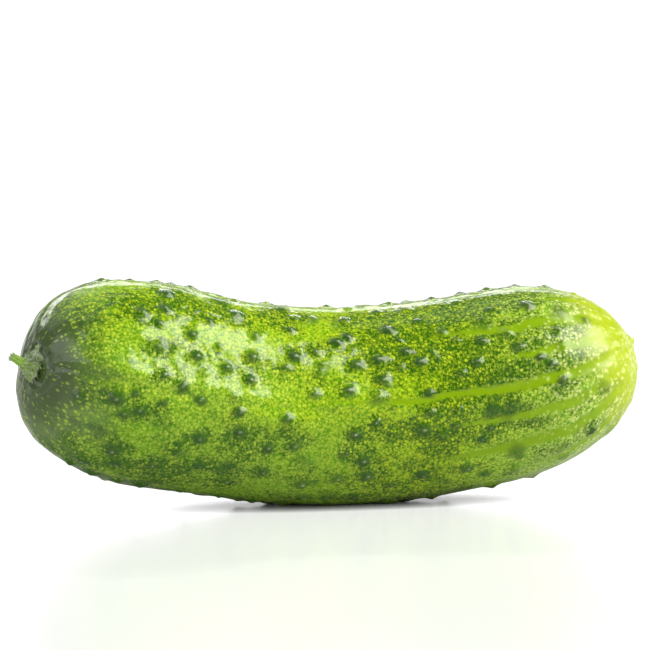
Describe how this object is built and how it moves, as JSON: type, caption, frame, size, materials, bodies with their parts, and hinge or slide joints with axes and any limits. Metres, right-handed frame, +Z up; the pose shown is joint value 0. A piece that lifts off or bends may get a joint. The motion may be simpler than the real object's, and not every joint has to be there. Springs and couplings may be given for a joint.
{
  "type": "cucumber",
  "caption": "Slightly bent pickling cucumber with a knobbly skin, lying on its belly, a short stub of stem at one end.",
  "frame": {"origin": "Bottom centre of the bounding box, on the surface the cucumber lies on", "axes": "+X runs along the fruit from the stem end to the blossom end, +Z is up, the belly rests on the XY plane"},
  "size_m": [0.113, 0.0382, 0.0397],
  "materials": {
    "cucumber_skin": "glossy, mottled yellow-green skin",
    "cucumber_stem": "dull, fibrous, pale green"
  },
  "bodies": {
    "root": {"fruit": "cucumber_skin", "stem_stub": "cucumber_stem"}
  },
  "joints": []
}
